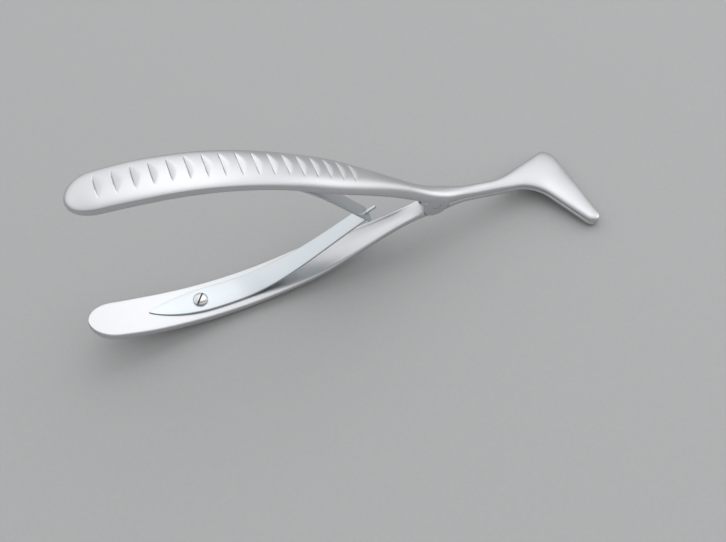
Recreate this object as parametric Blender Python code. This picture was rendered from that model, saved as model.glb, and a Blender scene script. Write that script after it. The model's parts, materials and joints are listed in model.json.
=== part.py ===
"""Nasal speculum: two levers hinged side by side, with turned blades and two interlocking leaf springs.

The levers are modelled round the hinge pin, with the handles towards -X, the blades towards +X and the
mid plane between the halves at Z = 0. The hinge empty then tilts everything to lie as it rests on a table.
"""

from math import asin, atan2, cos, pi, radians, sin, sqrt, tan

import bmesh
import bpy
from mathutils import Matrix, Vector
from mathutils.geometry import interpolate_bezier

# Handle: its flat inner face follows one curve, from the pivot to the rounded end
HANDLE_LENGTH = 0.1036
HANDLE_END_RISE = 0.0256
HANDLE_ROOT_ANGLE = radians(29.7)
HANDLE_END_ANGLE = radians(13)
HANDLE_ROOT_PULL = 0.443 * HANDLE_LENGTH
HANDLE_END_PULL = 0.364 * HANDLE_LENGTH
HANDLE_WIDTH = 0.0127
HANDLE_END_WIDTH = 0.0114
HANDLE_THICKNESS = 0.0030
HANDLE_RIM = 0.0010
END_TAPER_LENGTH = 0.018
WAIST_NARROW_AT = 0.007
WAIST_WIDE_AT = 0.042
UPRIGHT_LENGTH = 0.014
INNER_EDGE_SHARE = 0.035
LEAST_CROWN = 0.0001

# Straight cross grooves on the crown of each handle, steeper on the side of the handle's end
GROOVE_COUNT = 17
GROOVE_PITCH = 0.00425
GROOVE_STEEP_SIDE = 0.0004
GROOVE_EASY_SIDE = 0.0012
GROOVE_DEPTH = 0.00042
FIRST_GROOVE_AT = 0.0070

# Hinge: a tongue on the lower lever turns between two cheeks on the upper lever
JOINT_WIDTH = 0.0056
JOINT_HEIGHT = 0.0046
JOINT_RIM = 0.0026
JOINT_SWELL_LENGTH = 0.011
CHEEK_RADIUS = 0.0043
TONGUE_RADIUS = 0.0034
TONGUE_WIDTH = 0.0024
PIN_DIAMETER = 0.0024
PIN_RECESS = 0.0001
RUNNING_CLEARANCE = 0.0003
PARTING_GAP = 0.0003

# Neck
NECK_WIDTH = 0.0042
NECK_HEIGHT = 0.0022
NECK_RIM = 0.0006
NECK_NARROW_AT = 0.011
NECK_LOW_AT = 0.015
ELBOW_AT = 0.0165

# Elbow and blade, seen from above: corners of the outline and the radii that round them
FLARE_AT = 0.0246
FLARE_RADIUS = 0.025
HEEL_AT = 0.0485
HEEL_OUT = 0.0115
HEEL_RADIUS = 0.0038
CROOK_AT = 0.0361
CROOK_RADIUS = 0.011
TIP_AT = 0.0483
TIP_RADIUS = 0.0027
BLADE_REACH = 0.0207
BLADE_HEIGHT = 0.0022
TIP_HEIGHT = 0.0019
BLADE_WALL = 0.0010

# Shares of the way from the neck to the tip where the blade's form changes
BLADE_FULL_SHARE = 0.5
BLADE_THINS_SHARE = 0.6
HOLLOW_START_SHARE = 0.4
HOLLOW_FULL_SHARE = 0.7

# Leaf springs
SPRING_THICKNESS = 0.0009
SPRING_WIDTH = 0.0080
SPRING_POINT_LENGTH = 0.018
SPRING_POINT_FULLNESS = 1.7
SPRING_POINT_AT = HANDLE_LENGTH - 0.0166
SPRING_LEAVES_AT = SPRING_POINT_AT - 0.0214
SPRINGS_MEET_AT = 0.0230
SPRING_MEET_ANGLE = radians(40)
LOWER_SPRING_TIP_WIDTH = 0.0048
UPPER_SPRING_TIP_WIDTH = 0.0060
TANG_WIDTH = 0.0011
TANG_LENGTH = 0.0038
SHOULDER_LENGTH = 0.0003
SLOT_MARGIN = 0.0014
SEAT_GAP = 0.0003

# Spring screws
SCREW_AT = SPRING_POINT_AT - 0.0154
SCREW_HEAD_DIAMETER = 0.0042
SCREW_HEAD_HEIGHT = 0.0011
SCREW_HEAD_EDGE = 0.0003
SCREW_SHANK_DIAMETER = 0.0020
SCREW_BITE = 0.0014
DRIVER_SLOT_WIDTH = 0.0006
DRIVER_SLOT_DEPTH = 0.0005

# How finely the round forms are divided
CROWN_STEPS = 12
INNER_STEPS = 4
NOSE_STEPS = 5
WAIST_STEPS = 9
JOINT_STEPS = 8
ARC_STEPS = 10
ELBOW_STEPS = 22
SPRING_SEAT_STEPS = 8
SPRING_STEPS = 14
LINE_STEPS = 200
ROUND_STEPS = 40
SCREW_STEPS = 24
DOME_STEPS = 6
TILT_ROUNDS = 10

UPPER, LOWER = 1, -1
UP = Vector((0, 0, 1))


def smooth_step(value, start, end):
    """0 before start, 1 after end, and an even S between them."""
    share = min(max((value - start) / (end - start), 0), 1)
    return share * share * (3 - 2 * share)


def run_out(value, end):
    """1 at 0, falling steadily less steeply to 0 at end."""
    left = 1 - min(max(value / end, 0), 1)
    return left * left


def mix(first, second, share):
    return first + (second - first) * share


def lengths_along(points):
    """Distance of each point of a polyline from its first one."""
    lengths = [0.0]
    for before, after in zip(points, points[1:]):
        lengths.append(lengths[-1] + (after - before).length)
    return lengths


def point_along(points, lengths, distance):
    """Point and direction of a polyline at a distance from its start."""
    for number in range(1, len(points) - 1):
        if lengths[number] >= distance:
            break
    else:
        number = len(points) - 1
    step = points[number] - points[number - 1]
    share = (distance - lengths[number - 1]) / (lengths[number] - lengths[number - 1])
    return points[number - 1] + step * share, step.normalized()


def corner_arc(before, corner, after, radius):
    """Arc that rounds one corner of an outline."""
    back, ahead = (before - corner).normalized(), (after - corner).normalized()
    half_angle = back.angle(ahead) / 2
    centre = corner + (back + ahead).normalized() * radius / sin(half_angle)
    start = corner + back * radius / tan(half_angle) - centre
    turn = pi - 2 * half_angle
    if start.cross(corner - centre).z < 0:
        turn = -turn
    turns = [turn * step / ARC_STEPS for step in range(ARC_STEPS + 1)]
    return [centre + Matrix.Rotation(angle, 3, "Z") @ start for angle in turns]


def tangent_point(start, centre, radius, side):
    """Where a line from start touches a circle, on its left (side 1) or right (side -1)."""
    line = start - centre
    angle = atan2(sqrt(line.length_squared - radius * radius), radius)
    return centre + Matrix.Rotation(-side * angle, 3, "Z") @ line.normalized() * radius


# The inner face of the handle, from its end to the pivot, as if on the upper side
HANDLE_LINE = interpolate_bezier(
    Vector((-HANDLE_LENGTH, 0, HANDLE_END_RISE)),
    Vector((-HANDLE_LENGTH, 0, HANDLE_END_RISE))
    + Vector((cos(HANDLE_END_ANGLE), 0, sin(HANDLE_END_ANGLE))) * HANDLE_END_PULL,
    Vector((-cos(HANDLE_ROOT_ANGLE), 0, sin(HANDLE_ROOT_ANGLE))) * HANDLE_ROOT_PULL,
    Vector((0, 0, PARTING_GAP / 2)),
    LINE_STEPS,
)
HANDLE_LENGTHS = lengths_along(HANDLE_LINE)


def handle_frame(distance):
    """Point on the inner face at a distance from the handle's end, its direction and its outward normal."""
    point, along = point_along(HANDLE_LINE, HANDLE_LENGTHS, distance)
    return point, along, Vector((-along.z, 0, along.x))


def distance_at(from_pivot):
    """Distance from the handle's end of the point that lies from_pivot behind the pivot."""
    for point, length in zip(HANDLE_LINE, HANDLE_LENGTHS):
        if point.x >= -from_pivot:
            return length
    return HANDLE_LENGTHS[-1]


def section(near, far, up, height, rim, hollow=0.0, groove=0.0):
    """Closed ring round a lever: the crown from near to far, levelled by a groove, and the inner face."""
    across = far - near
    crown = max(height - rim, LEAST_CROWN)
    ring = []
    for step in range(CROWN_STEPS + 1):
        angle = pi * step / CROWN_STEPS
        rise = min(crown * sin(angle), crown - groove)
        ring.append(near + across * (1 - cos(angle)) / 2 + up * (rim + rise))
    for step in range(INNER_STEPS + 1):
        share = mix(1 - INNER_EDGE_SHARE, INNER_EDGE_SHARE, step / INNER_STEPS)
        ring.append(near + across * share + up * hollow * (1 - (2 * share - 1) ** 2))
    return ring


def handle_width(from_pivot):
    widened = smooth_step(from_pivot, WAIST_NARROW_AT, WAIST_WIDE_AT)
    narrowed = smooth_step(from_pivot, HANDLE_LENGTH - END_TAPER_LENGTH, HANDLE_LENGTH)
    return mix(JOINT_WIDTH, HANDLE_WIDTH, widened) - (HANDLE_WIDTH - HANDLE_END_WIDTH) * narrowed


def handle_section(distance, groove=0.0, nose=1.0):
    """Ring of the handle at a distance from its end. Towards the hinge it leans upright and thickens."""
    point, _, outward = handle_frame(distance)
    behind = -point.x
    swell = run_out(behind, JOINT_SWELL_LENGTH)
    upright = 1 - smooth_step(behind, 0, UPRIGHT_LENGTH)
    up = outward.lerp(UP, upright).normalized()
    half_width = Vector((0, handle_width(behind) / 2 * nose, 0))
    height = mix(HANDLE_THICKNESS, JOINT_HEIGHT - PARTING_GAP / 2, swell) * sqrt(nose)
    rim = mix(HANDLE_RIM, JOINT_RIM, swell) * nose
    return section(point - half_width, point + half_width, up, height, rim, groove=groove)


def handle_rings():
    """Rings from the handle's end to just before the pivot, with three for each groove."""
    nose_length = HANDLE_END_WIDTH / 2
    rings = []
    for step in range(1, NOSE_STEPS + 1):
        angle = pi / 2 * step / NOSE_STEPS
        rings.append(handle_section(nose_length * (1 - cos(angle)), nose=sin(angle)))
    for number in range(GROOVE_COUNT):
        middle = FIRST_GROOVE_AT + number * GROOVE_PITCH
        for shift, depth in ((-GROOVE_STEEP_SIDE, 0), (0, GROOVE_DEPTH), (GROOVE_EASY_SIDE, 0)):
            rings.append(handle_section(middle + shift, groove=depth))
    grooved_to = middle + GROOVE_EASY_SIDE
    for step in range(1, WAIST_STEPS):
        rings.append(handle_section(mix(grooved_to, HANDLE_LENGTHS[-1], step / WAIST_STEPS)))
    return rings


def neck_rings():
    """Rings from the pivot along the neck, up to where the edges part at the elbow."""
    rings = []
    for step in range(JOINT_STEPS):
        ahead = ELBOW_AT * step / JOINT_STEPS
        swell = run_out(ahead, NECK_LOW_AT)
        half_width = mix(JOINT_WIDTH, NECK_WIDTH, smooth_step(ahead, CHEEK_RADIUS / 2, NECK_NARROW_AT)) / 2
        base = Vector((ahead, 0, PARTING_GAP / 2))
        side = Vector((0, half_width, 0))
        height = mix(NECK_HEIGHT, JOINT_HEIGHT, swell) - PARTING_GAP / 2
        rings.append(section(base - side, base + side, UP, height, mix(NECK_RIM, JOINT_RIM, swell)))
    return rings


def blade_edges():
    """Far and near edge of the elbow and blade as polylines, and the centre of the round tip."""
    level = PARTING_GAP / 2
    tip = Vector((TIP_AT, TIP_RADIUS - BLADE_REACH, level))
    start = Vector((ELBOW_AT, NECK_WIDTH / 2, level))
    flare = Vector((FLARE_AT, NECK_WIDTH / 2, level))
    heel = Vector((HEEL_AT, HEEL_OUT, level))
    far_end = tangent_point(heel, tip, TIP_RADIUS, 1)
    heel_arc = corner_arc(flare, heel, far_end, HEEL_RADIUS)
    far = [start, *corner_arc(start, flare, heel, FLARE_RADIUS), *heel_arc, far_end]
    start = Vector((ELBOW_AT, -NECK_WIDTH / 2, level))
    crook = Vector((CROOK_AT, -NECK_WIDTH / 2, level))
    near_end = tangent_point(crook, tip, TIP_RADIUS, -1)
    near = [start, *corner_arc(start, crook, near_end, CROOK_RADIUS), near_end]
    return far, near, tip


def blade_rings():
    """Rings round the elbow and down the blade, hollowed on the inner side, and over the round tip."""
    far, near, tip = blade_edges()
    far_lengths, near_lengths = lengths_along(far), lengths_along(near)
    rings = []
    for step in range(ELBOW_STEPS + 1):
        share = step / ELBOW_STEPS
        far_point, _ = point_along(far, far_lengths, far_lengths[-1] * share)
        near_point, _ = point_along(near, near_lengths, near_lengths[-1] * share)
        height = mix(NECK_HEIGHT, BLADE_HEIGHT, smooth_step(share, 0, BLADE_FULL_SHARE))
        height = mix(height, TIP_HEIGHT, smooth_step(share, BLADE_THINS_SHARE, 1)) - PARTING_GAP / 2
        hollow = max(height - BLADE_WALL, 0) * smooth_step(share, HOLLOW_START_SHARE, HOLLOW_FULL_SHARE)
        rings.append(section(near_point, far_point, UP, height, NECK_RIM, hollow))
    onward = ((far_point + near_point) / 2 - tip).normalized() * -1
    far_turn = (far_point - tip).angle(onward)
    near_turn = (near_point - tip).angle(onward)
    for step in range(1, NOSE_STEPS):
        share = step / NOSE_STEPS
        far_tip = tip + Matrix.Rotation(-far_turn * share, 3, "Z") @ (far_point - tip)
        near_tip = tip + Matrix.Rotation(near_turn * share, 3, "Z") @ (near_point - tip)
        left = cos(pi / 2 * share)
        rings.append(section(near_tip, far_tip, UP, height * sqrt(left), NECK_RIM * left, hollow * left))
    return rings


def loft(rings, side):
    """Solid skinned over a row of rings. The lower side is the upper one mirrored in the mid plane."""
    mesh = bmesh.new()
    rows = [[mesh.verts.new((p.x, p.y, p.z * side)) for p in ring] for ring in rings]
    for row, following in zip(rows, rows[1:]):
        for number, corner in enumerate(row):
            after = (number + 1) % len(row)
            mesh.faces.new((corner, row[after], following[after], following[number]))
    mesh.faces.new(rows[0])
    mesh.faces.new(rows[-1])
    bmesh.ops.recalc_face_normals(mesh, faces=mesh.faces)
    return mesh


def steel(name, colour, roughness):
    material = bpy.data.materials.new(name)
    material.use_nodes = True
    shader = material.node_tree.nodes["Principled BSDF"]
    shader.inputs["Base Color"].default_value = (*colour, 1)
    shader.inputs["Metallic"].default_value = 1.0
    shader.inputs["Roughness"].default_value = roughness
    return material


def add_object(name, mesh, material=None, matrix=None, smooth=True):
    """Object that hangs on the hinge empty. Without a material it is a hidden cutter."""
    data = bpy.data.meshes.new(name)
    mesh.to_mesh(data)
    mesh.free()
    if smooth:
        data.shade_smooth()
        data.set_sharp_from_angle(angle=radians(35))
    item = bpy.data.objects.new(name, data)
    bpy.context.collection.objects.link(item)
    item.parent = hinge
    item.matrix_local = matrix or Matrix()
    if material:
        data.materials.append(material)
    else:
        item.hide_render = True
        item.display_type = "WIRE"
    return item


def combine(item, tool, operation):
    modifier = item.modifiers.new(f"{operation.lower()}_{tool.name}", "BOOLEAN")
    modifier.operation = operation
    modifier.object = tool
    modifier.solver = "EXACT"


def cylinder(radius, length, steps, place=Matrix()):
    """Cylinder along Z, centred on its place."""
    mesh = bmesh.new()
    bmesh.ops.create_cone(
        mesh, cap_ends=True, segments=steps, radius1=radius, radius2=radius, depth=length, matrix=place
    )
    return mesh


def cylinder_across(radius, start, end):
    """Cylinder on the hinge axis, from start to end along Y."""
    place = Matrix.Translation((0, (start + end) / 2, 0)) @ Matrix.Rotation(pi / 2, 4, "X")
    return cylinder(radius, end - start, ROUND_STEPS, place)


def box(size, matrix):
    mesh = bmesh.new()
    bmesh.ops.create_cube(mesh, size=1, matrix=matrix @ Matrix.Diagonal((*size, 1)))
    return mesh


def cheek_mesh():
    """Disc across the whole joint, cut off level where it has run into the root of the handle."""
    top = asin(sin(HANDLE_ROOT_ANGLE) + PARTING_GAP / CHEEK_RADIUS)
    angles = [mix(top, -pi - top, step / ROUND_STEPS) for step in range(ROUND_STEPS + 1)]
    outline = [Vector((cos(angle), 0, sin(angle))) * CHEEK_RADIUS for angle in angles]
    half = Vector((0, JOINT_WIDTH / 2, 0))
    return loft([[corner - half for corner in outline], [corner + half for corner in outline]], UPPER)


def add_hinge(upper_lever, lower_lever):
    """Cheeks and slot on the upper lever, tongue and recesses on the lower one, and the pin in its bore."""
    half_joint, half_tongue = JOINT_WIDTH / 2, TONGUE_WIDTH / 2
    half_slot = half_tongue + RUNNING_CLEARANCE
    past = JOINT_WIDTH
    cheeks = add_object("cheek_disc", cheek_mesh())
    slot = cylinder_across(TONGUE_RADIUS + RUNNING_CLEARANCE, -half_slot, half_slot)
    slot_disc = add_object("slot_disc", slot)
    depth = CHEEK_RADIUS + RUNNING_CLEARANCE
    below = box((depth * 2, half_slot * 2, depth), Matrix.Translation((0, 0, -depth / 2)))
    slot_below = add_object("slot_below", below)
    combine(upper_lever, cheeks, "UNION")
    combine(upper_lever, slot_disc, "DIFFERENCE")
    combine(upper_lever, slot_below, "DIFFERENCE")
    untrimmed = (half_tongue + half_joint) / 2
    tongue = add_object("tongue_disc", cylinder_across(TONGUE_RADIUS, -untrimmed, untrimmed))
    combine(lower_lever, tongue, "UNION")
    for name, start, end in (("near_recess", -past, -half_tongue), ("far_recess", half_tongue, past)):
        recess = add_object(name, cylinder_across(CHEEK_RADIUS + RUNNING_CLEARANCE, start, end))
        combine(lower_lever, recess, "DIFFERENCE")
    bore = add_object("pin_bore", cylinder_across(PIN_DIAMETER / 2 + RUNNING_CLEARANCE, -past, past))
    combine(upper_lever, bore, "DIFFERENCE")
    combine(lower_lever, bore, "DIFFERENCE")
    reach = half_joint - PIN_RECESS
    return add_object("hinge_pin", cylinder_across(PIN_DIAMETER / 2, -reach, reach), PIN_STEEL)


def seat_frame(side):
    """Frame on a handle's inner face at its spring screw: Z points away from it, and X towards the pivot."""
    point, along, outward = handle_frame(distance_at(SCREW_AT))
    place = Vector((point.x, 0, point.z * side))
    x_axis = Vector((along.x, 0, along.z * side))
    z_axis = Vector((-outward.x, 0, -outward.z * side))
    y_axis = z_axis.cross(x_axis)
    return Matrix.Translation(place) @ Matrix((x_axis, y_axis, z_axis)).transposed().to_4x4()


def spring_line():
    """Middle line of a leaf spring: flat on the handle, then curving off to where the leaves cross."""
    sunk = SEAT_GAP + SPRING_THICKNESS / 2
    first, last = distance_at(SPRING_POINT_AT), distance_at(SPRING_LEAVES_AT)
    points = []
    for step in range(SPRING_SEAT_STEPS + 1):
        point, along, outward = handle_frame(mix(first, last, step / SPRING_SEAT_STEPS))
        points.append(point - outward * sunk)
    leave = points[-1]
    meet = Vector((-SPRINGS_MEET_AT, 0, 0))
    arm = (meet - leave).length / 3
    into = Vector((cos(SPRING_MEET_ANGLE), 0, -sin(SPRING_MEET_ANGLE)))
    points += interpolate_bezier(leave, leave + along * arm, meet - into * arm, meet, LINE_STEPS)[1:]
    return points


def leaf_ring(point, along, width):
    thick = Vector((-along.z, 0, along.x)) * SPRING_THICKNESS / 2
    half = Vector((0, width / 2, 0))
    return [point - half - thick, point + half - thick, point + half + thick, point - half + thick]


def crossing_reach():
    """How far from the crossing the other leaf's faces reach, along this leaf."""
    angle = 2 * SPRING_MEET_ANGLE
    return SPRING_THICKNESS / 2 / sin(angle) + abs(SPRING_THICKNESS / 2 / tan(angle))


def spring_mesh(side, tip_width, tang):
    """Leaf from its pointed end to the crossing, then a narrow tang, or a round end past the slot."""
    line = spring_line()
    lengths = lengths_along(line)
    total = lengths[-1]
    clear = crossing_reach() + RUNNING_CLEARANCE
    end = total - clear - SHOULDER_LENGTH if tang else total
    rings = []
    for step in range(1, NOSE_STEPS + 2):
        angle = pi / 2 * step / (NOSE_STEPS + 1)
        point, along = point_along(line, lengths, SPRING_POINT_LENGTH * (1 - cos(angle)))
        rings.append(leaf_ring(point, along, SPRING_WIDTH * sin(angle) ** SPRING_POINT_FULLNESS))
    for step in range(1, SPRING_STEPS + 1):
        distance = mix(SPRING_POINT_LENGTH, end, step / SPRING_STEPS)
        point, along = point_along(line, lengths, distance)
        taper = smooth_step(distance, SPRING_POINT_LENGTH, total)
        rings.append(leaf_ring(point, along, mix(SPRING_WIDTH, tip_width, taper)))
    _, onward = point_along(line, lengths, total)
    if tang:
        for past in (-clear, TANG_LENGTH):
            rings.append(leaf_ring(line[-1] + onward * past, onward, TANG_WIDTH))
    else:
        for step in range(NOSE_STEPS):
            angle = pi / 2 * step / NOSE_STEPS
            past = clear + SLOT_MARGIN * sin(angle)
            rings.append(leaf_ring(line[-1] + onward * past, onward, tip_width * cos(angle)))
    return loft(rings, side)


def add_springs():
    """The two leaves, with the upper one slotted for the tang of the lower one."""
    tanged = spring_mesh(LOWER, LOWER_SPRING_TIP_WIDTH, tang=True)
    slotted = spring_mesh(UPPER, UPPER_SPRING_TIP_WIDTH, tang=False)
    lower = add_object("lower_spring", tanged, SPRING_STEEL, smooth=False)
    upper = add_object("upper_spring", slotted, SPRING_STEEL, smooth=False)
    room = 2 * RUNNING_CLEARANCE
    through = 2 * TANG_LENGTH
    crossing = Matrix.Translation((-SPRINGS_MEET_AT, 0, 0)) @ Matrix.Rotation(-SPRING_MEET_ANGLE, 4, "Y")
    slot = box((through, TANG_WIDTH + room, SPRING_THICKNESS + room), crossing)
    combine(upper, add_object("tang_slot", slot), "DIFFERENCE")
    return upper, lower


def screw_mesh():
    """Dome head over a plain shank, turned round Z, with the head's seat at Z = 0."""
    head, shank = SCREW_HEAD_DIAMETER / 2, SCREW_SHANK_DIAMETER / 2
    profile = [Vector((0, 0, -SPRING_THICKNESS - 2 * SEAT_GAP - SCREW_BITE))]
    profile.append(Vector((shank, 0, profile[0].z)))
    profile += [Vector((shank, 0, 0)), Vector((head, 0, 0))]
    for step in range(DOME_STEPS):
        angle = pi / 2 * step / DOME_STEPS
        rise = mix(SCREW_HEAD_EDGE, SCREW_HEAD_HEIGHT, sin(angle))
        profile.append(Vector((head * cos(angle), 0, rise)))
    profile.append(Vector((0, 0, SCREW_HEAD_HEIGHT)))
    mesh = bmesh.new()
    corners = [mesh.verts.new(p) for p in profile]
    edges = [mesh.edges.new(pair) for pair in zip(corners, corners[1:])]
    bmesh.ops.spin(
        mesh, geom=corners + edges, axis=UP, cent=(0, 0, 0), angle=2 * pi, steps=SCREW_STEPS, use_merge=True
    )
    bmesh.ops.remove_doubles(mesh, verts=mesh.verts, dist=1e-6)
    bmesh.ops.recalc_face_normals(mesh, faces=mesh.faces)
    return mesh


def add_spring_screw(name, side, lever, spring):
    """Screw through a spring into its handle, with the clearance holes in both."""
    seat = seat_frame(side)
    lift = 2 * SEAT_GAP + SPRING_THICKNESS
    screw = add_object(name, screw_mesh(), SCREW_STEEL, seat @ Matrix.Translation((0, 0, lift)))
    middle = SCREW_HEAD_HEIGHT - DRIVER_SLOT_DEPTH / 2 + SEAT_GAP
    size = (DRIVER_SLOT_WIDTH, 2 * SCREW_HEAD_DIAMETER, DRIVER_SLOT_DEPTH + 2 * SEAT_GAP)
    slot = box(size, Matrix.Translation((0, 0, middle)))
    combine(screw, add_object(f"{name}_slot", slot, matrix=screw.matrix_local), "DIFFERENCE")
    radius = SCREW_SHANK_DIAMETER / 2 + RUNNING_CLEARANCE
    for item, depth in ((lever, SCREW_BITE + SEAT_GAP), (spring, 2 * lift)):
        hole = cylinder(radius, 2 * depth, SCREW_STEPS)
        combine(item, add_object(f"{item.name}_screw_hole", hole, matrix=seat), "DIFFERENCE")


def crown_points(rings):
    """The middle of each ring's crown, mirrored to the lower side."""
    crowns = [ring[CROWN_STEPS // 2] for ring in rings]
    return [Vector((p.x, p.y, -p.z)) for p in crowns]


def resting_tilt(rings):
    """Tilt at which the lower handle's crown and the lower blade both touch the table."""
    points = crown_points(rings)
    tilt = 0.0
    for _ in range(TILT_ROUNDS):
        down = Vector((sin(tilt), 0, -cos(tilt)))
        handle = max((p for p in points if p.x < 0), key=down.dot)
        blade = max((p for p in points if p.x > 0), key=down.dot)
        tilt = atan2(blade.z - handle.z, blade.x - handle.x)
    return tilt


def stand_on_origin():
    """Moves the hinge empty so that the object's lowest middle point is the origin."""
    bpy.context.view_layer.update()
    graph = bpy.context.evaluated_depsgraph_get()
    corners = []
    for item in bpy.data.objects:
        if item.type == "MESH" and not item.hide_render:
            shape = item.evaluated_get(graph)
            corners += [shape.matrix_world @ v.co for v in shape.to_mesh().vertices]
            shape.to_mesh_clear()
    low = Vector([min(c[k] for c in corners) for k in range(3)])
    high = Vector([max(c[k] for c in corners) for k in range(3)])
    hinge.location -= Vector(((low.x + high.x) / 2, (low.y + high.y) / 2, low.z))
    bpy.context.view_layer.update()
    return high - low


for old in list(bpy.data.objects):
    bpy.data.objects.remove(old, do_unlink=True)

LEVER_STEEL = steel("satin_steel", (0.74, 0.74, 0.73), 0.33)
SPRING_STEEL = steel("spring_steel", (0.66, 0.68, 0.70), 0.28)
SCREW_STEEL = steel("screw_steel", (0.72, 0.72, 0.71), 0.25)
PIN_STEEL = steel("pin_steel", (0.70, 0.70, 0.69), 0.30)

hinge = bpy.data.objects.new("hinge", None)
bpy.context.collection.objects.link(hinge)

lever_rings = handle_rings() + neck_rings() + blade_rings()
upper_lever = add_object("upper_lever", loft(lever_rings, UPPER), LEVER_STEEL)
lower_lever = add_object("lower_lever", loft(lever_rings, LOWER), LEVER_STEEL)
add_hinge(upper_lever, lower_lever)
upper_spring, lower_spring = add_springs()
add_spring_screw("upper_spring_screw", UPPER, upper_lever, upper_spring)
add_spring_screw("lower_spring_screw", LOWER, lower_lever, lower_spring)

hinge.rotation_euler.y = resting_tilt(lever_rings)
size = stand_on_origin()
print("size in mm:", [round(1000 * s, 2) for s in size])
print("pivot in m:", [round(c, 6) for c in hinge.matrix_world.translation])
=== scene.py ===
# %% [markdown]
# # A nasal speculum in satin steel
# The instrument is two forged levers on one pin. Squeezing the grooved handles parts the turned blades, and two
# leaf springs that lock into each other push the handles open again. The CAD model gives the exact size and place
# of each piece, so we load it first as a fixed frame. Its solids are a little coarse, so every piece is then made
# again from the same measures with far more points, and stands in for its solid.

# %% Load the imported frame
import json
from math import asin, atan2, cos, pi, radians, sin, sqrt, tan

import bmesh
import bpy
from mathutils import Matrix, Vector
from mathutils.geometry import interpolate_bezier


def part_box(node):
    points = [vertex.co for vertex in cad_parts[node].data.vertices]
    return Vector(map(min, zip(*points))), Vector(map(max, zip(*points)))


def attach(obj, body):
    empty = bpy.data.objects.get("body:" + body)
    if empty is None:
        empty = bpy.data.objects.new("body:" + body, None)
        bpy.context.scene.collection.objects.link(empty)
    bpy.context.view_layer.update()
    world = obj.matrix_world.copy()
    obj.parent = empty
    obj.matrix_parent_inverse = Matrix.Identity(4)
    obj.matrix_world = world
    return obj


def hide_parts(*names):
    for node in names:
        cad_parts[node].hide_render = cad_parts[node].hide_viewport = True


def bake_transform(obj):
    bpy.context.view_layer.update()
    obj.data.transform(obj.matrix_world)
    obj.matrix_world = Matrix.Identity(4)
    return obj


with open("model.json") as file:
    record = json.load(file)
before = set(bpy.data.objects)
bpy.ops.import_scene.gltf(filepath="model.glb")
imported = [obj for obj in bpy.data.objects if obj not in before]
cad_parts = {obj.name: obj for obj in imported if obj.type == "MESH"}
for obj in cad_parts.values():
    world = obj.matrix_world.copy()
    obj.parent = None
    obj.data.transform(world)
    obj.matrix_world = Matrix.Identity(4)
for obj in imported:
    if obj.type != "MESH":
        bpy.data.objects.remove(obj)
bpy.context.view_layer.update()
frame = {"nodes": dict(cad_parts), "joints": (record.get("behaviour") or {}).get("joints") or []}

print("solids:", sorted(frame["nodes"]))

# %% [markdown]
# ## Working round the hinge pin
# Everything on the instrument is measured from its pin, so it is modelled there: handles towards -X, blades
# towards +X, and the plane between the two halves at Z = 0. One matrix then lays it on the table, where it leans a
# little because the blades lie lower than the handles. Lengths are written in millimetres.

# %% From the hinge pin to the table
MM = 0.001
hinge_pin = Vector(frame["joints"][0]["pos_m"])
resting_lean = radians(14.235)
on_table = Matrix.Translation(hinge_pin) @ Matrix.Rotation(resting_lean, 4, "Y")
print("hinge pin at", [round(1000 * part, 2) for part in hinge_pin], "mm")

# %% [markdown]
# ## The line of a handle
# From the side, a handle is one long, even bow. A Bezier curve gives that bow from a few numbers: how long and high
# it is, the angle at each end, and how far each end pulls the curve its own way. The curve is the inner face, where
# the springs lie, and the thickness is built outwards from it. A hair of room is left between the two levers.

# %% Handle line
def mix(first, second, share):
    return first + (second - first) * share


def smooth_step(value, start, end):
    """0 before start, 1 after end, and an even S between them."""
    share = min(max((value - start) / (end - start), 0), 1)
    return share * share * (3 - 2 * share)


handle_length, handle_rise = 103.6 * MM, 25.6 * MM
root_angle, end_angle = radians(29.7), radians(13)
end_reach, root_reach = 0.364 * handle_length, 0.443 * handle_length
parting_gap = 0.1 * MM
handle_root, handle_end = Vector((0, 0, parting_gap / 2)), Vector((-handle_length, 0, handle_rise))
end_pull = Vector((cos(end_angle), 0, sin(end_angle))) * end_reach
root_pull = Vector((-cos(root_angle), 0, sin(root_angle))) * root_reach
handle_line = interpolate_bezier(handle_end, handle_end + end_pull, root_pull, handle_root, 400)
print("the handle line has", len(handle_line), "points")


# %% Measuring along a line
def lengths_along(points):
    lengths = [0.0]
    for before, after in zip(points, points[1:]):
        lengths.append(lengths[-1] + (after - before).length)
    return lengths


def point_along(points, lengths, distance):
    """Point and direction at a distance from the line's start. Beyond an end the line runs on straight."""
    number = 1
    while number < len(points) - 1 and lengths[number] < distance:
        number += 1
    step = points[number] - points[number - 1]
    share = (distance - lengths[number - 1]) / (lengths[number] - lengths[number - 1])
    return points[number - 1] + step * share, step.normalized()


def distance_at(from_pin):
    """Distance from the handle's end of the place that lies from_pin behind the pin."""
    return next(length for point, length in zip(handle_line, handle_lengths) if point.x >= -from_pin)


handle_lengths = lengths_along(handle_line)
print("a handle is", round(handle_lengths[-1] / MM, 1), "mm long along its bow")

# %% [markdown]
# ## One slice through a lever
# Cut across, a lever is a flat inner face, two short sides and a crowned back, which is what a drop forging and a
# polishing belt leave. A ring of points describes that slice. The corners by the inner face are rounded, because
# that soft edge catches a thin line of light all along the handle. Some slices are scooped out along the inner
# face, by a given hollow. A groove doesn't follow the crown: it is deepest a little beyond the middle of the back
# and runs out before both sides. The ring also notes how deep the cut is at each point, so that the material can
# later paint shade into the grooves. The numbers without MM are shares of the slice's width, or say how full a
# curve is.

# %% Slice of a lever
crown_steps, corner_steps, face_steps = 40, 6, 12
soft_edge, widest_edge, least_crown = 0.5 * MM, 0.3, 0.1 * MM
crown_fullness, hollow_fullness = 0.8, 1.6
groove_depth, groove_middle, groove_reach = 0.36 * MM, 0.55, 0.30


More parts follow.
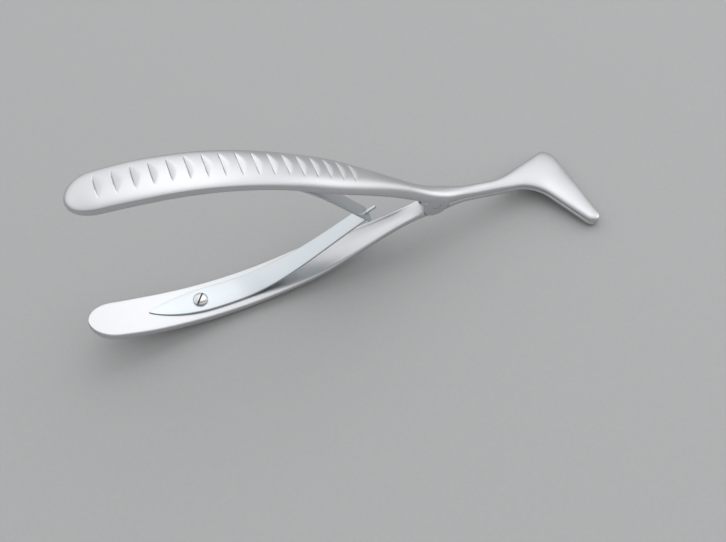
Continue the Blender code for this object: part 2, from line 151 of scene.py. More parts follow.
def lever_slice(near, far, up, height, rim, hollow=0.0, cut=0.0, fullness=crown_fullness):
    """Ring of points over the crowned back from the near to the far side, and home along the inner face."""
    across, crown = far - near, max(height - rim, least_crown)
    edge_height = min(soft_edge, rim)
    edge_share = min(edge_height / across.length, widest_edge)
    ring, cuts = [], []
    for step in range(crown_steps + 1):
        angle = pi * step / crown_steps
        share = (1 - cos(angle)) / 2
        rise = crown * max(sin(angle), 0) ** fullness
        cuts.append(max(cut - groove_depth * ((share - groove_middle) / groove_reach) ** 2, 0))
        ring.append(near + across * share + up * (rim + rise - cuts[-1]))
    turns = [pi / 2 * step / corner_steps for step in range(1, corner_steps + 1)]
    for turn in turns:
        ring.append(far - across * edge_share * (1 - cos(turn)) + up * edge_height * (1 - sin(turn)))
    for step in range(1, face_steps):
        share = mix(1 - edge_share, edge_share, step / face_steps)
        ring.append(near + across * share + up * hollow * (1 - abs(2 * share - 1) ** hollow_fullness))
    for turn in reversed(turns):
        ring.append(near + across * edge_share * (1 - cos(turn)) + up * edge_height * (1 - sin(turn)))
    return ring, cuts + [0.0] * (len(ring) - len(cuts))


print("a slice has", crown_steps + 1 + 2 * corner_steps + face_steps - 1, "points")

# %% [markdown]
# ## Skinning the slices
# Rings with the same number of points can be joined one to the next, like the skin on an aeroplane's wing. Both
# levers come from one row of rings: the lower one is the upper one mirrored in the plane between them. We keep the
# depth of cut as a number on each point, called an attribute, which a material can read.

# %% Skin a row of rings
def skin(rings, side=1, cuts=None):
    mesh = bmesh.new()
    cut_layer = mesh.verts.layers.float.new("cut_depth")
    rows = [[mesh.verts.new((p.x, p.y, p.z * side)) for p in ring] for ring in rings]
    for row, row_cuts in zip(rows, cuts or []):
        for corner, depth in zip(row, row_cuts):
            corner[cut_layer] = depth
    for row, following in zip(rows, rows[1:]):
        for number, corner in enumerate(row):
            after = (number + 1) % len(row)
            mesh.faces.new((corner, row[after], following[after], following[number]))
    mesh.faces.new(rows[0])
    mesh.faces.new(rows[-1])
    bmesh.ops.recalc_face_normals(mesh, faces=mesh.faces)
    return mesh


def put_on_table(name, mesh, place=Matrix()):
    """Object from a mesh that was made round the hinge pin. Its points are moved to their place on the table."""
    mesh.transform(on_table @ place)
    data = bpy.data.meshes.new(name)
    mesh.to_mesh(data)
    mesh.free()
    piece = bpy.data.objects.new(name, data)
    bpy.context.collection.objects.link(piece)
    return piece


# %% [markdown]
# ## The grooves for the fingers
# Seventeen straight grooves keep a wet glove from slipping. In the photo each one is a thin dark line towards the
# handle's end and a bright crescent on its other side. That tells us its form: a steep little wall, then an easy
# hollow slope. We describe the depth as a function of the distance from the bottom of the groove. Stations, in
# millimetres from that bottom, say where the slices go. They are close together at the steep wall, so that it
# stays crisp.

# %% Form of one groove
groove_count, groove_pitch, first_groove = 17, 4.13 * MM, 7.7 * MM
steep_side, easy_side = 0.34 * MM, 1.9 * MM
groove_stations = (-0.42, -0.34, -0.05, 0, 0.06, 0.15, 0.3, 0.55, 0.85, 1.2, 1.55, 1.9, 2.4)


def groove_cut(past):
    """Depth of cut at a distance past the bottom of the groove, towards the hinge."""
    if past < 0:
        return groove_depth * max(1 + past / steep_side, 0)
    return groove_depth * (1 - sin(pi / 2 * min(past / easy_side, 1)))


print("depth at the stations in mm:", [round(groove_cut(past * MM) / MM, 2) for past in groove_stations])

# %% [markdown]
# ## From the grooves to the hinge
# The handle is a flat bar with upright sides at its free end and grows rounder towards the hinge. Between the
# spring's seat and the hinge its inner face is ground slightly hollow, which shows in the photo as a bright
# strip along the near edge and a greyer one beyond it. All of these are slow changes along the handle, so each
# one is a smooth step from one number to another, and each slice asks how far it is from the pin. The pairs of
# distances say where such a change begins and where it is complete.

# %% Widths and changes along a handle
handle_width, handle_end_width, joint_width = 12.4 * MM, 11.4 * MM, 5.6 * MM
handle_thickness, end_rim, root_rim = 3.0 * MM, 1.8 * MM, 0.6 * MM
joint_height, joint_rim, joint_swell = 4.6 * MM, 2.6 * MM, 11 * MM
inner_hollow, inner_lift = 0.5 * MM, 0.3 * MM
hollow_begins, hollow_ends = (4 * MM, 12 * MM), (40 * MM, 56 * MM)
leans_back, widens, turns_square = (0, 14 * MM), (7 * MM, 42 * MM), (40 * MM, 75 * MM)
end_narrows = (handle_length - 18 * MM, handle_length)


def run_out(value, end):
    """1 at 0, falling steadily less steeply to 0 at end. It lets the handle's slope run on into the neck."""
    left = 1 - min(max(value / end, 0), 1)
    return left * left


def width_at(from_pin):
    narrowing = (handle_width - handle_end_width) * smooth_step(from_pin, *end_narrows)
    return mix(joint_width, handle_width, smooth_step(from_pin, *widens)) - narrowing


print("a handle is", [round(width_at(far_back * MM) / MM, 1) for far_back in (0, 20, 60, 100)], "mm wide")


# %% Slice of a handle
def handle_slice(distance, cut=0.0, round_off=1.0):
    """Slice at a distance from the free end, where round_off goes from 0 to 1 along the round of the end."""
    point, along = point_along(handle_line, handle_lengths, distance)
    from_pin, outward = -point.x, Vector((-along.z, 0, along.x))
    swell = run_out(from_pin, joint_swell)
    up = outward.lerp(Vector((0, 0, 1)), 1 - smooth_step(from_pin, *leans_back)).normalized()
    half = Vector((0, width_at(from_pin) / 2 * round_off, 0))
    bare = smooth_step(from_pin, *hollow_begins) * (1 - smooth_step(from_pin, *hollow_ends))
    squareness = smooth_step(from_pin, *turns_square)
    lift = inner_lift * bare
    height = mix(handle_thickness, joint_height - parting_gap / 2, swell) * sqrt(round_off) + lift
    rim = mix(mix(root_rim, end_rim, squareness), joint_rim, swell) * round_off + lift
    fullness = mix(mix(1, crown_fullness, squareness), crown_fullness, swell)
    base = point - up * lift
    return lever_slice(base - half, base + half, up, height, rim, inner_hollow * bare, cut, fullness)


# %% Slices from the free end to the hinge
end_round, end_steps, plain_steps, crowding = 7.2 * MM, 16, 40, 1.4
slices = []
for step in range(1, end_steps + 1):
    turn = pi / 2 * (step / end_steps) ** crowding
    slices.append(handle_slice(end_round * (1 - cos(turn)), round_off=sin(turn)))
for number in range(groove_count):
    for past in groove_stations:
        distance = first_groove + number * groove_pitch + past * MM
        slices.append(handle_slice(distance, cut=groove_cut(past * MM)))
grooves_end = distance
for step in range(1, plain_steps):
    slices.append(handle_slice(mix(grooves_end, handle_lengths[-1], step / plain_steps)))
print("handle:", len(slices), "slices of", len(slices[0][0]), "points")

# %% [markdown]
# ## Neck, elbow and blade
# Past the hinge the lever thins to a neck, then turns through an elbow into the blade. Seen from above, the
# outline is two lines with rounded corners, one on each side. We walk along both lines at the same pace and lay a
# slice between them at every step. The inner side of the blade is scooped out, so a closed pair of blades is
# hollow and slips into the nostril easily. The scoop runs out before the tip, where both blades meet flush.

# %% Helpers for an outline
def level_point(x, y):
    return Vector((x, y, parting_gap / 2))


def rounded_corner(before, corner, after, radius, steps=28):
    """Points of a round that replaces the sharp corner between two straight lines."""
    back, ahead = (before - corner).normalized(), (after - corner).normalized()
    half_angle = back.angle(ahead) / 2
    centre = corner + (back + ahead).normalized() * radius / sin(half_angle)
    spoke = corner + back * radius / tan(half_angle) - centre
    turn = pi - 2 * half_angle
    if spoke.cross(corner - centre).z < 0:
        turn = -turn
    return [centre + Matrix.Rotation(turn * step / steps, 3, "Z") @ spoke for step in range(steps + 1)]


def touch_circle(start, centre, radius, side):
    """Where a line from start touches a circle, on its left (side 1) or right (side -1)."""
    line = start - centre
    angle = atan2(sqrt(line.length_squared - radius * radius), radius)
    return centre + Matrix.Rotation(-side * angle, 3, "Z") @ line.normalized() * radius


# %% Outline of the elbow and blade
neck_width, elbow_at, tip_radius = 4.2 * MM, 16.5 * MM, 2.7 * MM
flare_radius, heel_radius, crook_radius = 25 * MM, 3.8 * MM, 11 * MM
tip, heel = level_point(48.3 * MM, -18 * MM), level_point(48.5 * MM, 11.5 * MM)
far_start, flare = (level_point(x, neck_width / 2) for x in (elbow_at, 24.6 * MM))
near_start, crook = (level_point(x, -neck_width / 2) for x in (elbow_at, 36.1 * MM))
far_end, near_end = touch_circle(heel, tip, tip_radius, 1), touch_circle(crook, tip, tip_radius, -1)
far_edge = [far_start, *rounded_corner(far_start, flare, heel, flare_radius)]
far_edge += [*rounded_corner(flare, heel, far_end, heel_radius), far_end]
near_edge = [near_start, *rounded_corner(near_start, crook, near_end, crook_radius), near_end]
far_lengths, near_lengths = lengths_along(far_edge), lengths_along(near_edge)
print("far and near edge:", [round(lengths[-1] / MM, 1) for lengths in (far_lengths, near_lengths)], "mm long")

# %% Slices of the neck
neck_height, neck_rim, neck_steps = 2.2 * MM, 0.6 * MM, 28
cheek_radius, neck_swell, neck_narrow_at = 4.3 * MM, 15 * MM, 11 * MM
up = Vector((0, 0, 1))
for step in range(neck_steps):
    ahead = elbow_at * step / neck_steps
    swell = run_out(ahead, neck_swell)
    narrowed = smooth_step(ahead, cheek_radius / 2, neck_narrow_at)
    side = Vector((0, mix(joint_width, neck_width, narrowed) / 2, 0))
    base = level_point(ahead, 0)
    height = mix(neck_height, joint_height, swell) - parting_gap / 2
    slices.append(lever_slice(base - side, base + side, up, height, mix(neck_rim, joint_rim, swell)))
print("handle and neck:", len(slices), "slices")

# %% Slices of the blade
blade_height, tip_height, blade_wall, blade_steps = 2.2 * MM, 1.9 * MM, 1.0 * MM, 90
for step in range(blade_steps + 1):
    share = step / blade_steps
    far_point, _ = point_along(far_edge, far_lengths, far_lengths[-1] * share)
    near_point, _ = point_along(near_edge, near_lengths, near_lengths[-1] * share)
    height = mix(neck_height, blade_height, smooth_step(share, 0, 0.5))
    height = mix(height, tip_height, smooth_step(share, 0.6, 1)) - parting_gap / 2
    scooped = smooth_step(share, 0.4, 0.7) * (1 - smooth_step(share, 0.84, 1))
    hollow = max(height - blade_wall, 0) * scooped
    slices.append(lever_slice(near_point, far_point, up, height, neck_rim, hollow))
print("the blade is", round((far_point - near_point).length / MM, 1), "mm wide where its round tip begins")

# %% Slices of the round tip
tip_steps = 14
onward = (tip - (far_point + near_point) / 2).normalized()
far_turn, near_turn = (far_point - tip).angle(onward), (near_point - tip).angle(onward)
for step in range(1, tip_steps):
    share = 1 - (1 - step / tip_steps) ** crowding
    far_tip = tip + Matrix.Rotation(-far_turn * share, 3, "Z") @ (far_point - tip)
    near_tip = tip + Matrix.Rotation(near_turn * share, 3, "Z") @ (near_point - tip)
    left = cos(pi / 2 * share)
    slices.append(lever_slice(near_tip, far_tip, up, height * sqrt(left), neck_rim * left))
rings, ring_cuts = [ring for ring, _ in slices], [cuts for _, cuts in slices]
print("lever:", len(rings), "slices")

# %% [markdown]
# ## The hinge
# The upper lever carries two round cheeks, and the lower lever a round tongue that turns between them. They fit
# into each other, so they are easiest to cut with booleans: add a disc to one lever, take the same disc with a hair
# of clearance out of the other. The cheeks are lofted too, so that their rims can be rounded. The tongue starts too
# wide, and the rooms for the cheeks cut it to its width.

# %% Boolean helpers
def cut_with(piece, tool, operation):
    modifier = piece.modifiers.new(tool.name, "BOOLEAN")
    modifier.operation, modifier.object, modifier.solver = operation, tool, "EXACT"


def settle(piece, *tools):
    """Makes the boolean cuts part of the mesh and takes the cutting tools away."""
    bpy.context.view_layer.update()
    settled = bpy.data.meshes.new_from_object(piece.evaluated_get(bpy.context.evaluated_depsgraph_get()))
    piece.modifiers.clear()
    piece.data = settled
    for tool in tools:
        bpy.data.objects.remove(tool)
    return piece


def soften(piece, sharp_from):
    """Smooth shading that keeps every edge sharper than the given angle."""
    piece.data.shade_smooth()
    piece.data.set_sharp_from_angle(angle=radians(sharp_from))
    print(piece.name, "has", len(piece.data.polygons), "faces")


# %% Discs and blocks
disc_steps, rim_steps = 96, 5


def disc_rings(radius, half_width, rim_radius, angles):
    """Rings of a disc across the hinge, with rounded rims."""
    profile = []
    for step in range(rim_steps + 1):
        turn = pi / 2 * step / rim_steps
        profile.append((half_width - rim_radius * (1 - sin(turn)), radius - rim_radius * (1 - cos(turn))))
    profile = [(-y, r) for y, r in reversed(profile)] + profile
    return [[Vector((r * cos(angle), y, r * sin(angle))) for angle in angles] for y, r in profile]


def disc(name, radius, half_width, rim_radius=0.01 * MM, shift=0.0):
    angles = [2 * pi * step / disc_steps for step in range(disc_steps)]
    mesh = skin(disc_rings(radius, half_width, rim_radius, angles))
    return put_on_table(name, mesh, Matrix.Translation((0, shift, 0)))


def block(name, size, place):
    mesh = bmesh.new()
    bmesh.ops.create_cube(mesh, size=1, matrix=Matrix.Diagonal((*size, 1)))
    return put_on_table(name, mesh, place)


# %% Upper lever with its cheeks and slot
tongue_radius, tongue_half, pin_radius = 3.4 * MM, 1.2 * MM, 1.2 * MM
hair, bore_hair, cheek_rim = 0.08 * MM, 0.03 * MM, 0.25 * MM
below_length, below_height = 9.4 * MM, 4.6 * MM
upper_lever = put_on_table("upper_lever_fine", skin(rings, 1, ring_cuts))
cheek_top = asin(sin(root_angle) + parting_gap / cheek_radius)
cheek_angles = [mix(cheek_top, -pi - cheek_top, step / disc_steps) for step in range(disc_steps + 1)]
cheeks = put_on_table("cheeks", skin(disc_rings(cheek_radius, joint_width / 2, cheek_rim, cheek_angles)))
tongue_room = disc("tongue_room", tongue_radius + hair, tongue_half + hair)
below_size = (below_length, 2 * (tongue_half + hair), below_height)
below = block("below", below_size, Matrix.Translation((0, 0, -below_height / 2)))
bore = disc("bore", pin_radius + bore_hair, 2 * joint_width)
cut_with(upper_lever, cheeks, "UNION")
for tool in (tongue_room, below, bore):
    cut_with(upper_lever, tool, "DIFFERENCE")
soften(settle(upper_lever, cheeks, tongue_room, below), 38)

# %% Lower lever with its tongue
lower_lever = put_on_table("lower_lever_fine", skin(rings, -1, ring_cuts))
tongue = disc("tongue", tongue_radius, 2 * tongue_half)
recess_half = joint_width
near_room = disc("near_room", cheek_radius + hair, recess_half, shift=-tongue_half - recess_half)
far_room = disc("far_room", cheek_radius + hair, recess_half, shift=tongue_half + recess_half)
cut_with(lower_lever, tongue, "UNION")
for tool in (near_room, far_room, bore):
    cut_with(lower_lever, tool, "DIFFERENCE")
soften(settle(lower_lever, tongue, near_room, far_room, bore), 38)

# %% [markdown]
# ## The hinge pin
# The pin was riveted and then ground flush with the cheeks, so nearly nothing of it shows. A short cylinder with
# finely rounded ends leaves the hairline circle that a close look finds.

# %% Hinge pin
pin_sunk, pin_rim = 0.03 * MM, 0.06 * MM
pin = disc("hinge_pin_fine", pin_radius, joint_width / 2 - pin_sunk, pin_rim)
soften(pin, 40)

# %% [markdown]
# ## The leaf springs
# Each spring is a tapered leaf of spring steel. It lies flat on the handle under a screw, then bows away from it
# until the two leaves meet over the plane between the levers. We take a line through the middle of the leaf's
# thickness, and lay rounded rectangles across it. The screwed end comes to a soft point and is ground thinner.

# %% Line of a spring
spring_thickness, spring_width, seat_gap = 0.7 * MM, 8.0 * MM, 0.04 * MM
point_at, leaves_at, screw_at, meet_at = 87.0 * MM, 61.0 * MM, 71.6 * MM, 23.0 * MM
meet_angle, seat_steps = radians(40), 60
sunk = seat_gap + spring_thickness / 2
spring_line = []
for step in range(seat_steps + 1):
    distance = mix(distance_at(point_at), distance_at(leaves_at), step / seat_steps)
    point, along = point_along(handle_line, handle_lengths, distance)
    spring_line.append(point - Vector((-along.z, 0, along.x)) * sunk)
leave, meet = spring_line[-1], Vector((-meet_at, 0, 0))
arm = (meet - leave).length / 3
into = Vector((cos(meet_angle), 0, -sin(meet_angle)))
spring_line += interpolate_bezier(leave, leave + along * arm, meet - into * arm, meet, 300)[1:]
spring_lengths = lengths_along(spring_line)
print("a spring is", round(spring_lengths[-1] / MM, 1), "mm long up to where the leaves cross")


# %% Slice of a spring
leaf_corner, fullest_corner, leaf_corner_steps = 0.26 * MM, 0.4, 5
ground_length, ground_share = 16 * MM, 0.45
point_length, point_steps = 18 * MM, 28


def leaf_slice(distance, width):
    """Rounded rectangle across the leaf. Its corners shrink with it towards the point."""
    point, along = point_along(spring_line, spring_lengths, distance)
    outward = Vector((-along.z, 0, along.x))
    thickness = spring_thickness * mix(ground_share, 1, smooth_step(distance, 0, ground_length))
    point = point + outward * (spring_thickness - thickness) / 2
    radius = min(leaf_corner, fullest_corner * width, fullest_corner * thickness)
    ring = []
    for corner, (side, face) in enumerate(((1, 1), (-1, 1), (-1, -1), (1, -1))):
        middle = Vector((0, side * (width / 2 - radius), 0)) + outward * face * (thickness / 2 - radius)
        for step in range(leaf_corner_steps + 1):
            turn = pi / 2 * (corner + step / leaf_corner_steps)
            ring.append(point + middle + Vector((0, cos(turn), 0)) * radius + outward * sin(turn) * radius)
    return ring


def pointed_end():
    """Slices of the soft point at the screwed end."""
    rings = []
    for step in range(1, point_steps + 1):
        turn = pi / 2 * (step / point_steps) ** 1.5
        rings.append(leaf_slice(point_length * (1 - cos(turn)), spring_width * sin(turn) ** 1.7))
    return rings


print("the point of a leaf has", len(pointed_end()), "slices")

# %% [markdown]
# ## How the leaves lock
# The lower leaf ends in a narrow tang, and the upper leaf has a slot that the tang goes through. That keeps the
# springs together while they slide on each other. The shoulders beside the tang come up just short of the other
# leaf. How far the leaves reach into each other where they cross follows from their thickness and their angle.

# %% Where the leaves cross
total, half_leaf = spring_lengths[-1], spring_thickness / 2
crossing = half_leaf / sin(2 * meet_angle) + abs(half_leaf / tan(2 * meet_angle)) + 0.15 * MM
print("the crossing takes", round(crossing / MM, 2), "mm of each leaf")


def tapering_leaf(length, last_width, steps=80):
    """Slices from the screwed end's point to a length where the leaf is nearly as narrow as last_width."""
    rings = pointed_end()
    for step in range(1, steps + 1):
        distance = mix(point_length, length, step / steps)
        width = mix(spring_width, last_width, smooth_step(distance, point_length, total))
        rings.append(leaf_slice(distance, width))
    return rings


# %% Lower leaf with its tang
tang_width, tang_length, tang_steps, tang_round = 1.1 * MM, 3.8 * MM, 12, 0.3 * MM
shoulder, shoulder_width = total - crossing - 0.25 * MM, 4.8 * MM
leaf_rings = tapering_leaf(shoulder, shoulder_width)
for past, width in ((0.12, 4.6), (0.2, 1.4), (0.3, 1.1)):
    leaf_rings.append(leaf_slice(shoulder + past * MM, width * MM))
tang_start, tang_end = shoulder + 0.3 * MM, total + tang_length
for step in range(1, tang_steps + 1):
    distance = mix(tang_start, tang_end - tang_round, step / tang_steps)
    leaf_rings.append(leaf_slice(distance, tang_width))
for turn in (0.5, 0.8, 0.95):
    width = tang_width * sqrt(1 - 0.6 * turn ** 2)
    leaf_rings.append(leaf_slice(tang_end - tang_round * (1 - turn), width))
lower_spring = put_on_table("lower_spring_fine", skin(leaf_rings, -1))
print("lower leaf:", len(leaf_rings), "slices")

# %% Upper leaf with its slot
slotted_width, slotted_round, slotted_steps, slot_room = 6.0 * MM, 1.4 * MM, 16, 0.3 * MM
leaf_rings = tapering_leaf(total + crossing, slotted_width)
for step in range(1, slotted_steps):
    turn = pi / 2 * step / slotted_steps
    distance = total + crossing + slotted_round * sin(turn)
    leaf_rings.append(leaf_slice(distance, slotted_width * cos(turn)))
upper_spring = put_on_table("upper_spring_fine", skin(leaf_rings, 1))
slot_place = Matrix.Translation(meet) @ Matrix.Rotation(-meet_angle, 4, "Y")
slot_size = (8 * MM, tang_width + slot_room, spring_thickness + slot_room)
tang_slot = block("tang_slot", slot_size, slot_place)
cut_with(upper_spring, tang_slot, "DIFFERENCE")
settle(upper_spring, tang_slot)
print("upper leaf:", len(leaf_rings), "slices and a slot")

# %% [markdown]
# ## The spring screws
# A slotted screw with a low dome holds each spring. A screw is round, so we draw half of its outline and spin it.
# The driver slot is a boolean cut across the head. The same place on the handle serves both screws. The head's seat
# is the leaf's upper face, a leaf's thickness and two hairs above the handle.

# %% Where the screws sit
head_seat, head_radius, head_height = 2 * seat_gap + spring_thickness, 2.2 * MM, 1.1 * MM
slot_turn, slot_width, slot_depth = radians(-35), 0.5 * MM, 0.65 * MM
slot_top = Matrix.Translation((0, 0, head_seat + head_height)) @ Matrix.Rotation(slot_turn, 4, "Z")


def screw_place(side):
    """Z points away from the handle's inner face, X towards the hinge."""
    point, along = point_along(handle_line, handle_lengths, distance_at(screw_at))
    z_axis = Vector((along.z, 0, -along.x * side))
    x_axis = Vector((along.x, 0, along.z * side))
    axes = Matrix((x_axis, z_axis.cross(x_axis), z_axis)).transposed().to_4x4()
    return Matrix.Translation((point.x, 0, point.z * side)) @ axes


print("lower screw at", [round(1000 * part, 1) for part in (on_table @ screw_place(-1)).translation], "mm")

# %% Outline of half a screw
shank_radius, shank_length, head_edge, head_side, dome_steps = 1.0 * MM, 1.2 * MM, 0.1 * MM, 0.4 * MM, 12
screw_outline = [(0, -shank_length), (shank_radius, -shank_length), (shank_radius, head_seat)]
screw_outline += [(head_radius - head_edge, head_seat), (head_radius, head_seat + head_edge)]
for step in range(dome_steps):
    turn = pi / 2 * step / dome_steps
    screw_outline.append((head_radius * cos(turn), head_seat + mix(head_side, head_height, sin(turn))))
screw_outline.append((0, head_seat + head_height))
print("half a screw has", len(screw_outline), "points")


# %% Turn a screw
def screw(name, side):
    mesh = bmesh.new()
    corners = [mesh.verts.new((x, 0, z)) for x, z in screw_outline]
    edges = [mesh.edges.new(pair) for pair in zip(corners, corners[1:])]
    spin_axis = {"axis": (0, 0, 1), "cent": (0, 0, 0)}
    bmesh.ops.spin(mesh, geom=corners + edges, angle=2 * pi, steps=64, use_merge=True, **spin_axis)
    bmesh.ops.remove_doubles(mesh, verts=mesh.verts, dist=0.001 * MM)
    bmesh.ops.recalc_face_normals(mesh, faces=mesh.faces)
    piece = put_on_table(name, mesh, screw_place(side))
    driver_slot = block(f"{name}_slot", (slot_width, 6 * MM, 2 * slot_depth), screw_place(side) @ slot_top)
    cut_with(piece, driver_slot, "DIFFERENCE")
    soften(settle(piece, driver_slot), 40)
    return piece


upper_screw = screw("upper_screw_fine", 1)
lower_screw = screw("lower_screw_fine", -1)
for spring in (upper_spring, lower_spring):
    soften(spring, 40)

# %% [markdown]
# ## Satin stainless steel
# Surgical steel is blasted or belt-ground to a satin face, so that it doesn't dazzle under a lamp. It is a metal,
# so nearly all of its look comes from how rough it is. Three layers of noise do the work: a broad one that shifts
# tone and gloss a little, as handling does, a fine one stretched along the lever for the belt's lines, and a very
# fine one for the blasted grain. The cut depth that we stored darkens the grooves slightly: that is painted shade
# in the hollows. Every steel on the instrument is the same recipe with other numbers: two tones and a range of
# roughness. The slots of the screws get a dark one, which is painted shade in the narrow cut.

# %% Node helpers
def add_node(tree, kind, operation=None, **inputs):
    node = tree.nodes.new(kind)
    if operation:
        node.operation = operation
    for name, value in inputs.items():
        socket = node.inputs[name.replace("_", " ")]
        if isinstance(value, bpy.types.NodeSocket):
            tree.links.new(value, socket)
        else:
            socket.default_value = value
    return node


def set_range(node, which, low, high):
    """Sets the From or the To range of a Map Range node."""
    node.inputs[f"{which} Min"].default_value, node.inputs[f"{which} Max"].default_value = low, high


def stretched_noise(tree, stretch, scale, detail):
    """Noise in the piece's own space, turned with the resting instrument and drawn out along it."""
    place = add_node(tree, "ShaderNodeTexCoord").outputs["Object"]
    along = add_node(tree, "ShaderNodeMapping", Vector=place, Rotation=(0, resting_lean, 0), Scale=(stretch, 1, 1))
    along.vector_type = "TEXTURE"
    return add_node(tree, "ShaderNodeTexNoise", Vector=along.outputs[0], Scale=scale, Detail=detail).outputs["Fac"]


def between(tree, factor, low, high):
    """Turns a noise factor into a number between low and high."""
    node = add_node(tree, "ShaderNodeMapRange", Value=factor)
    set_range(node, "From", 0.3, 0.7)
    set_range(node, "To", low, high)
    return node.outputs["Result"]


# %% Satin steel
handling_size, line_size, grain_size = 90, 9000, 14000
handling_stretch, line_stretch = 3, 30
# At a groove's deepest its colour falls to this share: painted shade.
painted_groove_shade, bump_depth = 0.9, 0.01 * MM


def satin_steel(name, light, dark, smoothest, roughest, grooves=False):
    material = bpy.data.materials.new(name)
    material.use_nodes = True
    tree = material.node_tree
    shader = tree.nodes["Principled BSDF"]
    shader.inputs["Metallic"].default_value = 1.0
    handled = stretched_noise(tree, handling_stretch, handling_size, 3)
    tone = tree.nodes.new("ShaderNodeMix")
    tone.data_type = "RGBA"
    tone.inputs["A"].default_value, tone.inputs["B"].default_value = (*dark, 1), (*light, 1)
    tree.links.new(between(tree, handled, 0, 1), tone.inputs["Factor"])
    colour = tone.outputs["Result"]
    # Painted shade: the colour darkens with the stored depth of cut, down to the given share at a groove's deepest.
    if grooves:
        depth = add_node(tree, "ShaderNodeAttribute")
        depth.attribute_name = "cut_depth"
        share = add_node(tree, "ShaderNodeMapRange", Value=depth.outputs["Fac"])
        set_range(share, "From", 0, groove_depth)
        set_range(share, "To", 1, painted_groove_shade)
        painted_groove_darkening = add_node(tree, "ShaderNodeVectorMath", "SCALE", Vector=colour, Scale=share.outputs["Result"])
        colour = painted_groove_darkening.outputs["Vector"]
    tree.links.new(colour, shader.inputs["Base Color"])
    lines = stretched_noise(tree, line_stretch, line_size, 2)
    gloss = add_node(tree, "ShaderNodeMath", "ADD")
    tree.links.new(between(tree, handled, smoothest, roughest), gloss.inputs[0])
    tree.links.new(between(tree, lines, -0.02, 0.03), gloss.inputs[1])
    tree.links.new(gloss.outputs["Value"], shader.inputs["Roughness"])
    grain = stretched_noise(tree, 1, grain_size, 1)
    bumps = add_node(tree, "ShaderNodeBump", Height=grain, Strength=0.06, Distance=bump_depth)
    blasted = bumps.outputs["Normal"]
    bumps = add_node(tree, "ShaderNodeBump", Height=lines, Strength=0.08, Distance=bump_depth, Normal=blasted)
    tree.links.new(bumps.outputs["Normal"], shader.inputs["Normal"])
    print(name, "has", len(tree.nodes), "nodes")
    return material


lever_steel = satin_steel("lever_steel", (0.66, 0.655, 0.665), (0.60, 0.61, 0.625), 0.34, 0.40, grooves=True)
spring_steel = satin_steel("leaf_steel", (0.63, 0.665, 0.69), (0.58, 0.62, 0.65), 0.30, 0.36)
# Near-black steel for the inside of the driver slots: painted shade.
painted_slot_shade = satin_steel("painted_slot_shade", (0.16, 0.16, 0.16), (0.09, 0.09, 0.09), 0.45, 0.55)
screw_steel = satin_steel("turned_steel", (0.68, 0.68, 0.68), (0.60, 0.60, 0.61), 0.18, 0.25)
pin_steel = satin_steel("pin_face_steel", (0.66, 0.66, 0.67), (0.60, 0.60, 0.62), 0.30, 0.36)

# %% [markdown]
# ## Giving each piece its body
# The upper handle moves and the lower one stays, so each rigid piece rides on one of the two bodies. A leaf spring
# belongs to both: its screwed end goes with its own handle, and where the leaves cross it is half-way between the
# two. Here a spring is only fixed in its place, and the length of that blend is worked out: from the place where
# the leaf leaves its handle to as far again beyond the crossing, so that it would be exactly half done where they
# cross.

# %% Finish the rigid pieces
for piece, node, body, steel, slot in (
    (upper_lever, "upper_lever", "upper", lever_steel, "satin_steel"),
    (lower_lever, "lower_lever", "lower", lever_steel, "satin_steel"),
    (pin, "hinge_pin", "lower", pin_steel, "pin_steel"),
    (upper_screw, "upper_spring_screw", "upper", screw_steel, "screw_steel"),
    (lower_screw, "lower_spring_screw", "lower", screw_steel, "screw_steel"),
):
    piece.data.materials.clear()
    piece.data.materials.append(steel)
    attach(piece, body)
    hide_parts(node)
    low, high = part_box(node)
    corners = [corner.co for corner in piece.data.vertices]
    mine = [(min(c[k] for c in corners), max(c[k] for c in corners)) for k in range(3)]
    off = max(max(abs(mine[k][0] - low[k]), abs(mine[k][1] - high[k])) for k in range(3))
    print(piece.name, "differs from its solid by", round(off / MM, 2), "mm at most")

# %% Shade in the driver slots
across_limit, depth_limit = 0.51 * slot_width, 1.02 * slot_depth
for piece, side in ((upper_screw, 1), (lower_screw, -1)):
    # The faces inside the slot get the near-black steel, as painted shade.
    piece.data.materials.append(painted_slot_shade)
    to_slot = (on_table @ screw_place(side) @ slot_top).inverted()
    inside = 0
    for face in piece.data.polygons:
        place = to_slot @ face.center
        if abs(place.x) < across_limit and place.z > -depth_limit:
            face.material_index = 1
            inside += 1
    print(piece.name, "has", inside, "faces in its slot")

# %% Finish the springs
for piece, node, side, own, other in (
    (upper_spring, "upper_spring", 1, "upper", "lower"),
    (lower_spring, "lower_spring", -1, "lower", "upper"),
):
    piece.data.materials.clear()
    piece.data.materials.append(spring_steel)
    start = on_table @ Vector((leave.x, 0, leave.z * side))
    crossing_point = on_table @ meet
    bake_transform(piece)
    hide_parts(node)
    blend_length = round(2 * (crossing_point - start).length / MM, 1)
    print(piece.name, "bends between", own, "and", other, "over", blend_length, "mm")

# %% [markdown]
# ## Floor and light
# Metal shows what is round it, so the room matters more than the lamps. In the photo the far side of the room is
# bright, and it is dimmer overhead and behind the camera. Three ramps in the world's nodes give that: one rises
# with height, one falls from the far side to the near side, and one dims the top a little. A wide, weak lamp over
# the blades adds a soft shadow, and a smaller one beyond them, low and to the right, draws the thin line of light
# along the neck and the handle's shoulder. A lamp's power is worked out from how bright its face should look. The
# floor is a plain pale sheet, so wide that its edge lies on the horizon.

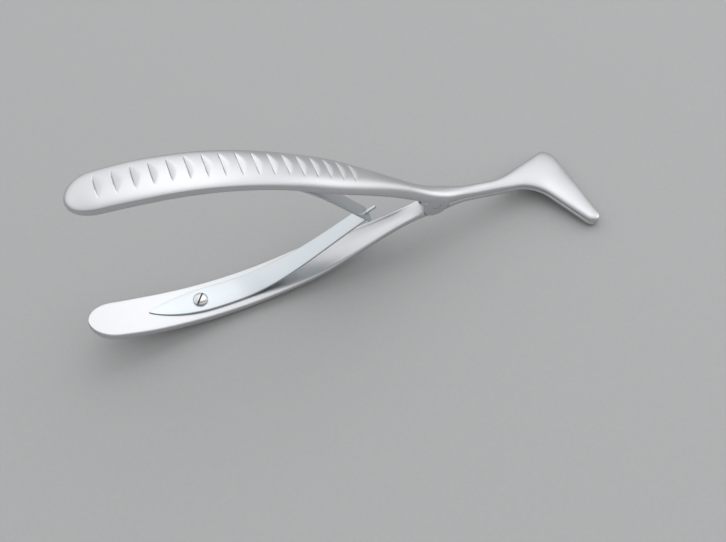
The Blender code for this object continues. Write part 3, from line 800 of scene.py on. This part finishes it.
# %% Floor
floor_radius = 30
floor_mesh = bmesh.new()
bmesh.ops.create_circle(floor_mesh, cap_ends=True, segments=128, radius=floor_radius)
floor_data = bpy.data.meshes.new("floor")
floor_mesh.to_mesh(floor_data)
floor_mesh.free()
floor = bpy.data.objects.new("floor", floor_data)
bpy.context.collection.objects.link(floor)
paper = bpy.data.materials.new("pale_paper")
paper.use_nodes = True
tree = paper.node_tree
fibres = stretched_noise(tree, 1, 900, 4)
paper_finish = tree.nodes["Principled BSDF"]
shade = add_node(tree, "ShaderNodeMapRange", Value=fibres)
set_range(shade, "To", 0.43, 0.47)
tree.links.new(shade.outputs["Result"], paper_finish.inputs["Base Color"])
paper_finish.inputs["Roughness"].default_value = 0.9
paper_finish.inputs["Specular IOR Level"].default_value = 0.1
floor_data.materials.append(paper)
print("the floor is", 2 * floor_radius, "m across")


# %% Lamps
def softbox(name, place, target, side, brightness):
    """Square lamp, whose face looks as bright as a white sheet where brightness is 1."""
    lamp = bpy.data.lights.new(name, "AREA")
    lamp.shape, lamp.size = "SQUARE", side
    lamp.energy = brightness * pi * side * side
    box = bpy.data.objects.new(name, lamp)
    bpy.context.collection.objects.link(box)
    box.location = place
    box.rotation_euler = (Vector(target) - Vector(place)).to_track_quat("-Z", "Y").to_euler()
    box.visible_camera = False
    print(name, "gives", round(lamp.energy, 2), "W")


softbox("blade_light", (0.34, 0.41, 0.85), (0, 0, 0.02), 0.7, 0.7)
softbox("side_light", (0.85, 0.05, 0.2), (0, 0, 0.02), 0.4, 1.3)

# %% Directions in the room
far_side_way = (0.32, 0.88, 0.34)
world = bpy.data.worlds.new("room")
world.use_nodes = True
tree = world.node_tree
seen = add_node(tree, "ShaderNodeTexCoord").outputs["Generated"]
height_seen = add_node(tree, "ShaderNodeSeparateXYZ", Vector=seen).outputs["Z"]
towards = add_node(tree, "ShaderNodeVectorMath", "DOT_PRODUCT", Vector=seen)
towards.inputs[1].default_value = far_side_way
print("the far side lies", round(atan2(far_side_way[1], far_side_way[0]) * 180 / pi), "degrees round from +X")


def eased(value, start, end):
    """A ramp that starts and ends softly."""
    node = add_node(tree, "ShaderNodeMapRange", Value=value)
    node.interpolation_type = "SMOOTHSTEP"
    set_range(node, "From", start, end)
    return node.outputs["Result"]


def product(first, second):
    node = add_node(tree, "ShaderNodeMath", "MULTIPLY")
    tree.links.new(first, node.inputs[0])
    tree.links.new(second, node.inputs[1])
    return node.outputs["Value"]


def scaled(value, factor, base):
    """base + factor * value"""
    node = add_node(tree, "ShaderNodeMath", "MULTIPLY_ADD")
    tree.links.new(value, node.inputs[0])
    node.inputs[1].default_value, node.inputs[2].default_value = factor, base
    return node.outputs["Value"]


# %% Brightness of the room
overhead_loss, room_glow, least_glow = 0.3, 0.93, 0.3
overhead = scaled(eased(height_seen, 0.7, 1.0), -overhead_loss, 1.0)
far_side = product(eased(towards.outputs["Value"], -0.8, 0.5), overhead)
glow = product(eased(height_seen, 0.0, 0.5), far_side)
background = tree.nodes["Background"]
tree.links.new(scaled(glow, room_glow, least_glow), background.inputs["Strength"])
background.inputs["Color"].default_value = (0.98, 0.99, 1, 1)
bpy.context.scene.world = world
bpy.context.scene.view_settings.view_transform = "Standard"
print("the room's brightness goes from", least_glow, "to", round(least_glow + room_glow, 2))

# %% [markdown]
# ## The camera
# The camera stands where the photo was taken from. Its place, turn and lens were found by moving them until the
# outline of the solids lay on the outline in the photo. The object is small and near, so the clip start is too.

# %% Camera
camera = bpy.data.objects.new("camera", bpy.data.cameras.new("camera"))
bpy.context.collection.objects.link(camera)
camera.location = (-0.033744, -0.114099, 0.200917)
camera.rotation_euler = (radians(30.327), radians(2.435), radians(-21.863))
camera.data.sensor_width = 36
camera.data.lens = 37.13
camera.data.clip_start = 0.01
bpy.context.scene.camera = camera
print("the camera is", round(camera.location.length, 3), "m from the table's middle")
